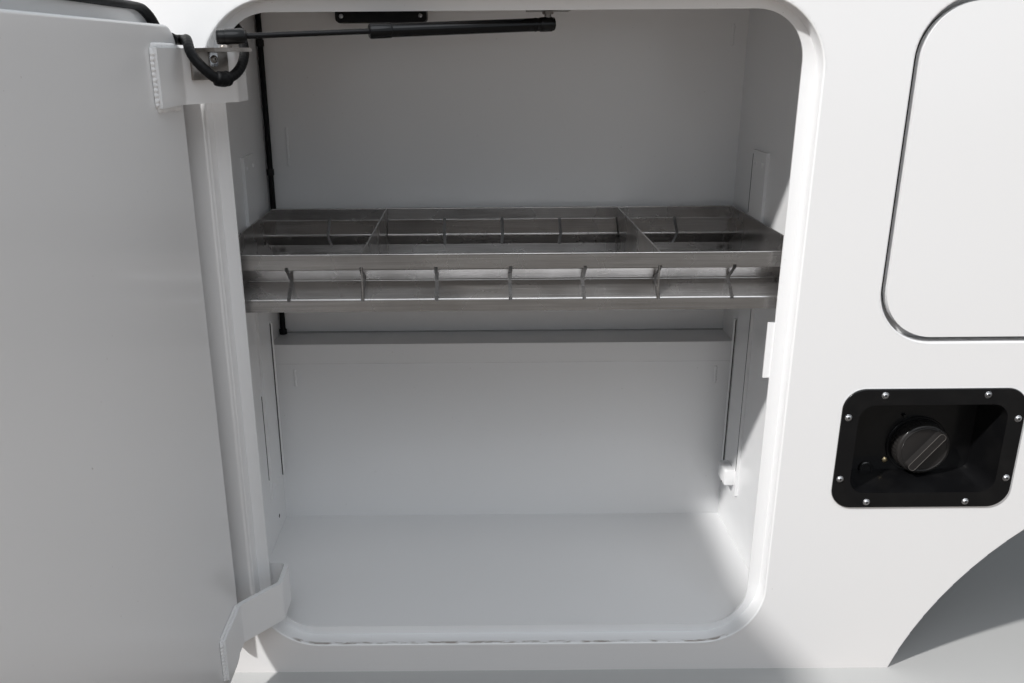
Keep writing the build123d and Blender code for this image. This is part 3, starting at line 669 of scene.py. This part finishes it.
# Screws round the fuel filler pocket's rim, and the sealant that squeezes out under it
screw_radius = 3.8
washer_thickness = 0.5
socket_depth = washer_thickness + 0.55 * screw_radius * 0.5
bm = bmesh.new()
for x, z in pocket_screws:
    washer(bm, (x, pocket_rim_y, z), OUTWARDS, 4.6, washer_thickness)
    button_screw(bm, (x, pocket_rim_y - washer_thickness, z), OUTWARDS, screw_radius)
piece("pocket_screws", bm, "stainless", "root")

# Dark hexagons at the bottoms of the screws' sockets: painted shade inside the sockets.
bm = bmesh.new()
for x, z in pocket_screws:
    socket = facing((x, pocket_rim_y - socket_depth, z), OUTWARDS)
    add_rings(bm, [hexagon(1.5, 0.0), hexagon(1.45, 0.25)], socket)
piece("pocket_screw_socket_shade", bm, "black_rubber", "root")

pocket_low, pocket_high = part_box("fuel_pocket")
pocket_corner = 28.0
sealant_reach = 1.6
sealant_height = 1.4
rings = []
for x, z, nx, nz in rounded_loop(
    pocket_low.x / MM, pocket_high.x / MM, pocket_low.z / MM, pocket_high.z / MM, pocket_corner
):
    wander = 0.35 * noise.noise(Vector((x, z, 0.0)) * 0.06)
    reach = max(sealant_reach * (0.55 + 0.45 * nx - 0.35 * nz) + wander, 0.25)
    rings.append([
        Vector((x - 0.6 * nx, 0.0, z - 0.6 * nz)),
        Vector((x - 0.6 * nx, -sealant_height, z - 0.6 * nz)),
        Vector((x + 0.4 * reach * nx, -0.8 * sealant_height, z + 0.4 * reach * nz)),
        Vector((x + reach * nx, 0.02, z + reach * nz)),
    ])
bm = bmesh.new()
add_rings(bm, rings, loop=True)
piece("pocket_sealant", bm, "sealant", "root", 70.0)

# Filler cap: knurled rim, raised edge and pale edges of its grip, lighter for wear and as a painted
# highlight, and a seat ring under it
bm = bmesh.new()
knurl_count = 40
rings = [
    circle(cap_radius + relief, height, 5 * knurl_count, knurl_count, depth)
    for relief, height, depth in ((0.1, 1.6, 0.0), (0.5, 2.6, 0.45), (0.5, 14.0, 0.45), (0.1, 15.2, 0.0))
]
seated = facing((cap_centre[0], pocket_back_y - 0.3, cap_centre[1]), OUTWARDS)
add_rings(bm, rings, seated, closed=False)
piece("cap_knurling", bm, "cap_plastic", "root", 25.0)

bm = bmesh.new()
front = facing((cap_centre[0], cap_front_y, cap_centre[1]), OUTWARDS)
edge_profile = [(32.4, -0.5), (31.9, 0.5), (31.0, 0.9), (30.1, 0.5), (29.6, -0.5)]
turned(bm, edge_profile, front, 64, closed=False)
piece("cap_edge_ring", bm, "cap_plastic", "root")

grip_half_length, grip_half_width, grip_corner = 31.6, 5.2, 4.2
edge_radius = 0.45
edge = [
    Vector((
        cap_centre[0] + along * cos(grip_angle) - across * sin(grip_angle),
        cap_front_y - grip_rise,
        cap_centre[1] + along * sin(grip_angle) + across * cos(grip_angle),
    ))
    for along, across, nx, nz in rounded_loop(
        -grip_half_length, grip_half_length, -grip_half_width, grip_half_width, grip_corner, 6
    )
]
bm = bmesh.new()
tube(bm, edge + edge[:1], edge_radius, 8)
piece("cap_grip_edges", bm, "wear_and_painted_highlight_edge", "root", 60.0)

bm = bmesh.new()
seat = facing((cap_centre[0] - 1.5, pocket_back_y, cap_centre[1]), OUTWARDS)
seat_profile = [(41.0, -0.2), (41.0, 1.6), (40.2, 2.4), (38.4, 2.4), (37.8, 1.8), (37.6, -0.2)]
turned(bm, seat_profile, seat, 64, closed=False)
piece("cap_seat_ring", bm, "black_plastic", "root")

# Small fittings on the pocket's back wall, beside the cap
bm = bmesh.new()
rivet_profile = [(4.2, -0.2), (4.1, 1.0), (3.0, 2.3), (1.2, 2.8)]
turned(bm, rivet_profile, facing((519.0, pocket_back_y, 304.0), OUTWARDS), 24)
piece("pocket_rivet", bm, "brass", "root")

bm = bmesh.new()
for x, z, count, profile in (
    (536.0, 371.0, 20, [(2.6, -0.2), (2.5, 3.2), (1.8, 4.0), (0.6, 4.1)]),
    (494.0, 292.0, 32, [(10.0, -0.2), (9.6, 2.4), (8.4, 3.4), (6.8, 3.4), (6.2, 2.6), (1.0, 2.4)]),
):
    turned(bm, profile, facing((x, pocket_back_y, z), OUTWARDS), count)
piece("pocket_fittings", bm, "black_plastic", "root")

# Gas strut: a collar at the cylinder's mouth, its rolled end, and the end fittings on the ball studs.
# Heights in the profiles run from the header's stud to the arm's.
strut_run = arm_ball - header_ball
along_strut = facing(header_ball, strut_run.normalized())
bm = bmesh.new()
for profile in (
    [(7.4, 190.0), (8.1, 190.8), (8.3, 192.0), (8.3, 213.6), (7.8, 215.2), (6.4, 216.0), (3.3, 216.2)],
    [(7.45, 14.0), (7.9, 15.0), (7.9, 16.2), (7.45, 17.4)],
):
    turned(bm, profile, along_strut, 40)
piece("strut_cylinder_collar", bm, "black_paint", "strut_cylinder")

bm = bmesh.new()
turned(bm, [(7.4, -5.6), (8.3, -4.8), (8.4, 5.2), (8.1, 9.6), (7.4, 10.6)], along_strut, 40)
piece("strut_header_socket", bm, "black_plastic", "strut_cylinder")

bm = bmesh.new()
socket_profile = [
    # radius, height above the arm's stud
    (3.4, -23.0), (5.6, -22.2), (7.2, -20.0), (8.0, -18.8), (8.0, -1.0),
    (7.4, 0.6), (7.6, 1.4), (7.6, 6.6), (6.6, 8.8), (4.0, 9.6),
]
turned(bm, [(radius, strut_run.length + height) for radius, height in socket_profile], along_strut, 40)
piece("strut_rod_socket", bm, "black_plastic", "strut_rod")

# Bolt with its square plate on the arm's angle, and a lock nut at the stud's foot
angle_face = Vector((-330.4, -37.0, 837.5))
angle_out = Vector((0.7507, -0.6606, 0.0))
bm = bmesh.new()
plate = facing(angle_face, angle_out)
up = plate.to_3x3().inverted() @ Vector((0, 0, 1))
plate = plate @ Matrix.Rotation(atan2(up.y, up.x) - pi / 2, 4, "Z")
half_width, half_height, plate_height, corner = 5.2, 7.6, 2.2, 1.6
rings = [
    [(x, z, level) for x, z, nx, nz in rounded_loop(
        shrink - half_width, half_width - shrink, shrink - half_height, half_height - shrink, corner, 4)]
    for level, shrink in ((0.0, 0.0), (plate_height - 0.5, 0.0), (plate_height, 0.5))
]
add_rings(bm, rings, plate)
piece("angle_bolt_plate", bm, "stainless", "front_door")

bm = bmesh.new()
button_screw(bm, angle_face + angle_out * plate_height, angle_out, 4.3)
piece("angle_bolt", bm, "bare_steel", "front_door")

bm = bmesh.new()
hex_head(bm, (arm_ball.x, arm_ball.y, 848.8), UPWARDS, 6.6, 2.6)
piece("angle_stud_nut", bm, "bare_steel", "front_door")

bm = bmesh.new()
hex_head(bm, (header_ball.x, header_ball.y, 888.1), (0, 0, -1), 6.6, 3.4)
piece("header_stud_nut", bm, "bare_steel", "root")

# Junction box: lid seam, screws and a gland where the loom leaves it
box_low, box_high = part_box("junction_box")
box_left, box_right = box_low.x / MM, box_high.x / MM
box_front, box_bottom, box_top = box_low.y / MM, box_low.z / MM, box_high.z / MM
screw_inset = 9
bm = bmesh.new()
for x in (box_left + screw_inset, box_right - screw_inset):
    for z in (box_bottom + screw_inset, box_top - screw_inset):
        button_screw(bm, (x, box_front, z), OUTWARDS, 3.4)
piece("junction_box_screws", bm, "stainless", "root")

bm = bmesh.new()
seam_front, seam_back = box_front + 12.0, box_front + 14.5
seam_section = ((seam_front, -0.2), (seam_front, 0.7), (seam_back, 0.7), (seam_back, -0.2))
rings = [
    [Vector((x + reach * nx, depth, z + reach * nz)) for depth, reach in seam_section]
    for x, z, nx, nz in rounded_loop(box_left, box_right, box_bottom, box_top, 6.0, 6)
]
add_rings(bm, rings, loop=True)
piece("junction_box_lid_seam", bm, "black_rubber", "root")

bm = bmesh.new()
turned(bm, [(5.0, -14.0), (7.2, -13.0), (7.4, -4.0), (8.4, -3.2), (8.4, 0.2)],
       facing((box_left, loom_place[1], (box_bottom + box_top) / 2), REARWARDS))
piece("junction_box_gland", bm, "black_plastic", "root")

# Clips round the loom
bm = bmesh.new()
clip_profile = [
    (loom_radius + relief, height)
    for relief, height in ((-0.1, -5.0), (0.9, -5.0), (1.3, -4.4), (1.3, 4.4), (0.9, 5.0), (-0.1, 5.0))
]
for z in (455.0, 660.0, 860.0):
    turned(bm, clip_profile, facing((*loom_place, z), UPWARDS), 36, closed=False)
piece("loom_clips", bm, "black_rubber", "root")

# Stitch welds down the back's corners, and sealant along the lap of the lower back
bm = bmesh.new()
for x, depth, low, high, seed in (
    (-350.0, 409.0, 668.0, 732.0, 5), (363.0, 409.0, 850.0, 884.0, 6),
    (-352.0, 344.0, 306.0, 338.0, 7), (361.0, 344.0, 306.0, 338.0, 8), (361.0, 409.0, 430.0, 470.0, 9),
):
    weld_bead(bm, (x, depth, low), (x, depth, high), 5.0, OUTWARDS, seed)
piece("back_stitch_welds", bm, "white_paint", "root", 60.0)

bm = bmesh.new()
steps = 90
for y, z, radius in ((344.0, 347.6, 0.9), (408.6, 382.4, 1.5)):
    points = [
        Vector((-liner_x + 2 * liner_x * i / steps, y, z + 0.25 * noise.noise(Vector((i * 0.4, z, 0.0)))))
        for i in range(steps + 1)
    ]
    tube(bm, points, radius, 10)
piece("back_seam_sealant", bm, "sealant", "root", 70.0)

# Rivets through the doublers
bm = bmesh.new()
for side in (-1, 1):
    for y, z in ((266.0, 160.0), (300.0, 160.0), (266.0, 682.0), (300.0, 682.0)):
        turned(bm, [(3.6, -0.2), (3.5, 0.7), (2.5, 1.4), (0.9, 1.7)],
               facing((side * doubler_face, y, z), (-side, 0, 0)), 20)
piece("doubler_rivets", bm, "white_paint", "root")

# Side walls: thin dark lines of painted shade in the gaps beside the doublers and in the grooves beside the
# ribs, ribs in the lower back corners with a foot on the right one, and two dark discs of painted shade for
# open holes
gap_radius = 0.55
groove_radius = 0.8
rib_radius = 3.4
rib_x, rib_y, rib_top = 383.5, 331.5, 424.0
rib_bottoms = {-1: 150.0, 1: 130.0}
dark_lines, ribs, holes = bmesh.new(), bmesh.new(), bmesh.new()
for x, y, low, high, radius in (
    (-doubler_face, 229.0, 188.0, 334.0, gap_radius),
    (doubler_face, 253.5, 186.0, 470.0, gap_radius),
    (doubler_face, 312.0, 604.0, 694.0, gap_radius),
    (-382.0, 325.0, rib_bottoms[-1], rib_top, groove_radius),
    (382.0, 325.0, rib_bottoms[1], rib_top, groove_radius),
):
    count = int((high - low) / 6)
    points = [
        Vector((x, y + 0.7 * noise.noise(Vector((i * 0.3, x, y))), low + (high - low) * i / count))
        for i in range(count + 1)
    ]
    tube(dark_lines, points, radius, 8)
for side, low in rib_bottoms.items():
    points = resample([Vector((side * rib_x, rib_y, low)), Vector((side * rib_x, rib_y, rib_top))], 10.0)
    tube(ribs, points, rib_radius, 14)
foot_left, foot_right, foot_bottom, foot_top = 365.0, 386.2, 157.0, 185.0
foot_rings = [
    [(x, y, z) for x, z, nx, nz in rounded_loop(
        foot_left + inset, foot_right, foot_bottom + inset, foot_top - inset, 3.5, 6)]
    for y, inset in ((257.6, 1.2), (258.0, 0.4), (259.0, 0.0), (296.0, 0.0))
]
add_rings(ribs, foot_rings)
hole_radius = 3.4
for x, y, z in ((-liner_x, 292.0, 88.0), (liner_x, 282.0, 137.5)):
    turned(holes, [(hole_radius, -0.1), (hole_radius, 0.12), (0.6 * hole_radius, 0.14)],
           facing((x, y, z), (-x, 0, 0)), 20)
piece("wall_gap_shade_lines", dark_lines, "gap_shade_paint", "root", 60.0)
piece("corner_ribs", ribs, "white_paint", "root", 50.0)
piece("wall_hole_shade_discs", holes, "gap_shade_paint", "root")

# Folded edges along the tops of the tray's walls and dividers
tray_low, tray_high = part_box("tray_pan")
divider_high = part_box("tray_dividers")[1]
tray_sheet = 1.6
hem_radius = 1.15
hem_z = tray_high.z / MM - 0.2
end_x = tray_high.x / MM - tray_sheet / 2
divider_x = divider_high.x / MM - 0.75
front_y, back_y = tray_low.y / MM + tray_sheet / 2, tray_high.y / MM - tray_sheet / 2
for name, start, end in (
    ("tray_hem_front", (-end_x, front_y), (end_x, front_y)),
    ("tray_hem_back", (-end_x, back_y), (end_x, back_y)),
    ("tray_hem_left", (-end_x, front_y), (-end_x, back_y)),
    ("tray_hem_right", (end_x, front_y), (end_x, back_y)),
    ("divider_hem_left", (-divider_x, front_y), (-divider_x, back_y)),
    ("divider_hem_right", (divider_x, front_y), (divider_x, back_y)),
):
    bm = bmesh.new()
    tube(bm, resample([Vector((*start, hem_z)), Vector((*end, hem_z))], 12.0), hem_radius, 10)
    piece(name, bm, "brushed_sheet", "root", 60.0)

# Bolts that hold the tray to its clips
bm = bmesh.new()
bolt_inset_x, bolt_inset_y = 9.0, 24.0
for side in (-1, 1):
    for y in (tray_low.y / MM + bolt_inset_y, tray_high.y / MM - bolt_inset_y):
        x, z = side * (tray_high.x / MM - bolt_inset_x), tray_low.z / MM + tray_sheet
        washer(bm, (x, y, z), UPWARDS, 6.0, 1.0)
        hex_head(bm, (x, y, z + 1.0), UPWARDS, 4.6, 3.2)
piece("tray_bolts", bm, "bare_steel", "root")

# Back: bolts in the mounting plates, and stitch welds along the plates' top and bottom
plate_low, plate_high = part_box("mounting_plates")
plate_half_x, plate_half_z, bolt_inset = 175.0, 70.0, 25.0
plate_face_y = plate_high.y / MM
plate_z = (plate_low.z + plate_high.z) / 2 / MM
stitch_starts, stitch_length = (-150.0, -30.0, 90.0), 60.0
back_bolts, plate_welds = bmesh.new(), bmesh.new()
for plate_x in (plate_low.x / MM + plate_half_x, plate_high.x / MM - plate_half_x):
    for side in (-1, 1):
        bolt_x = plate_x + side * (plate_half_x - bolt_inset)
        for way in (-1, 1):
            bolt_z = plate_z + way * (plate_half_z - bolt_inset)
            washer(back_bolts, (bolt_x, plate_face_y, bolt_z), INWARDS, 13.0, 2.0)
            hex_head(back_bolts, (bolt_x, plate_face_y + 2.0, bolt_z), INWARDS, 9.5, 7.0)
        weld_z = plate_z + side * (plate_half_z + 1.0)
        for start in stitch_starts:
            weld_bead(
                plate_welds,
                (plate_x + start, plate_face_y - 1.5, weld_z),
                (plate_x + start + stitch_length, plate_face_y - 1.5, weld_z),
                6.0, INWARDS, 20,
            )
piece("back_bolts", back_bolts, "bare_steel", "root")
piece("plate_stitch_welds", plate_welds, "white_paint", "root", 60.0)

# Plug welds in the upper back, over the partitions
back_low, back_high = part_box("upper_back")
partition_low, partition_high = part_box("partitions")
plug_low_z, plug_pitch = 440.0, 115.0
bm = bmesh.new()
for x in (partition_low.x / MM + 1.5, partition_high.x / MM - 1.5):
    for i in range(5):
        z = plug_low_z + plug_pitch * i + 1.5 * noise.noise(Vector((x, i, 0.0)))
        turned(bm, [(5.2, -0.3), (5.0, 0.35), (3.8, 0.6), (1.2, 0.35)],
               facing((x, back_high.y / MM, z), INWARDS), 20)
piece("back_plug_welds", bm, "white_paint", "root", 70.0)

# Seam sealant along the laps of the outer sheets
left_x, right_x = cad_low.x / MM, cad_high.x / MM
outer_y, seam_low, seam_high = back_high.y / MM, back_low.z / MM, back_high.z / MM
ledge_depth = 62.0
bm = bmesh.new()
for start, end, radius in (
    ((left_x + 2.0, outer_y - ledge_depth, seam_low + 0.5),
     (right_x - 2.0, outer_y - ledge_depth, seam_low + 0.5), 2.0),
    ((left_x + 0.8, outer_y - 0.4, seam_low + 4.0), (left_x + 0.8, outer_y - 0.4, seam_high - 6.0), 1.6),
    ((right_x - 0.8, outer_y - 0.4, seam_low + 4.0), (right_x - 0.8, outer_y - 0.4, seam_high - 6.0), 1.6),
):
    points = resample([Vector(start), Vector(end)], 12.0)
    tube(
        bm, points,
        lambda distance, angle: radius + 0.25 * noise.noise(Vector((distance * 0.05, 0.0, 0.0))), 8,
    )
piece("outer_seam_sealant", bm, "sealant", "root", 70.0)

# Black rubber strip on the face, beside the front door's hinge. It casts shade: it stops light through the
# gap behind the open leaf, so the face beside it lies in shade, and its black shows as a dark line in that
# shade.
bump_and_shade_strip_x = -386.0
bump_and_shade_strip_levels = (56.0, 480.0, 855.0)
bump_and_shade_strip_section = (
    (-4.5, 0.5), (-4.5, -13.5), (-3.0, -17.5), (0.0, -19.5), (3.0, -17.5), (4.5, -13.5), (4.5, 0.5),
)
bm = bmesh.new()
add_rings(bm, [
    [Vector((bump_and_shade_strip_x + dx, y, z)) for dx, y in bump_and_shade_strip_section] for z in bump_and_shade_strip_levels
])
piece("hinge_side_bump_and_shade_strip", bm, "black_rubber", "root", 50.0)

# Upset heads of the hinge pins, above and below the brackets
pin_reach = 6.0
rear_pin_x = recess("rear")[0] - 34.0
pin_head = [(6.0, -0.1), (6.0, 1.2), (5.0, 2.2), (2.0, 2.7)]
bm = bmesh.new()
for low_z, high_z in (lower_arm_z, upper_arm_z):
    for x in (hinge_pin[0], rear_pin_x):
        for z, way in ((low_z - pin_reach, -1), (high_z + pin_reach, 1)):
            turned(bm, pin_head, facing((x, hinge_pin[1], z), (0, 0, way)), 24)
piece("hinge_pin_heads", bm, "bare_steel", "root")


# Floor, lights and camera
floor_size = 30.0
sky_colour = (0.87, 0.935, 1.0, 1.0)
sky_light, sky_in_gloss, sky_seen = 0.44, 0.70, 0.80
pale_floor = (0.40, 0.40, 0.395), (0.43, 0.43, 0.425)
floor_bounce, floor_in_gloss = (0.29, 0.24, 0.20), (0.10, 0.09, 0.08)


def studio():
    """Pale floor and sky. The floor bounces less light than it shows, as dark ground would."""
    bm = bmesh.new()
    half = floor_size / 2
    corners = ((-half, -half), (half, -half), (half, half), (-half, half))
    bm.faces.new([bm.verts.new((x, y, 0.0)) for x, y in corners])
    mesh = bpy.data.meshes.new("studio_floor")
    bm.to_mesh(mesh)
    bm.free()
    floor = bpy.data.objects.new("studio_floor", mesh)
    bpy.context.scene.collection.objects.link(floor)
    material, tree, shader, place = shader_nodes("studio_floor")
    path = tree.nodes.new("ShaderNodeLightPath").outputs
    clouds = ramp(tree, noise_output(tree, place, 2.0, 5.0), 0.3, 0.7)
    pale = blend_colours(tree, clouds, *pale_floor)
    unseen = blend_colours(tree, path["Is Glossy Ray"], floor_bounce, floor_in_gloss)
    tree.links.new(blend_colours(tree, path["Is Camera Ray"], unseen, pale), shader.inputs["Base Color"])
    shader.inputs["Roughness"].default_value = 0.9
    mesh.materials.append(material)
    floor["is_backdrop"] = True

    world = bpy.data.worlds.new("studio")
    bpy.context.scene.world = world
    world.use_nodes = True
    tree = world.node_tree
    path = tree.nodes.new("ShaderNodeLightPath").outputs
    strength = tree.nodes.new("ShaderNodeMath")
    strength.operation = "MAXIMUM"
    in_gloss = ramp(tree, path["Is Glossy Ray"], 0.0, 1.0, sky_light, sky_in_gloss)
    tree.links.new(in_gloss, strength.inputs[0])
    tree.links.new(multiply(tree, path["Is Camera Ray"], sky_seen), strength.inputs[1])
    background = tree.nodes["Background"]
    background.inputs["Color"].default_value = sky_colour
    tree.links.new(strength.outputs[0], background.inputs["Strength"])


def soft_lamp(name, place, target, size, watts, colour):
    """A round area lamp, in metres, turned to a target."""
    lamp = bpy.data.lights.new(name, "AREA")
    lamp.shape = "DISK"
    lamp.size = size
    lamp.energy = watts
    lamp.color = colour
    holder = bpy.data.objects.new(name, lamp)
    holder.location = place
    holder.rotation_euler = (Vector(target) - Vector(place)).to_track_quat("-Z", "Y").to_euler()
    bpy.context.scene.collection.objects.link(holder)


def photo_camera():
    """The camera that the photograph was taken with."""
    data = bpy.data.cameras.new("photo_camera")
    data.lens = camera_lens
    data.sensor_width = 36.0
    data.shift_x = camera_shift
    holder = bpy.data.objects.new("photo_camera", data)
    tilt = Matrix.Rotation(radians(90 - camera_pitch), 4, "X") @ Matrix.Rotation(radians(camera_roll), 4, "Z")
    holder.matrix_world = Matrix.Translation(Vector(camera_place) * MM) @ tilt
    bpy.context.scene.collection.objects.link(holder)
    bpy.context.scene.camera = holder


studio()
soft_lamp("key", (-6.888, -5.017, 8.184), (0.386, 0.0, 0.067), 0.5, 1660.0, (1.0, 0.985, 0.965))
soft_lamp("sky", (0.8, -3.2, 4.6), (0.4, 0.1, 0.3), 4.0, 80.0, (0.93, 0.96, 1.0))
photo_camera()
bpy.context.scene.view_settings.view_transform = "Standard"

low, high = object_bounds()
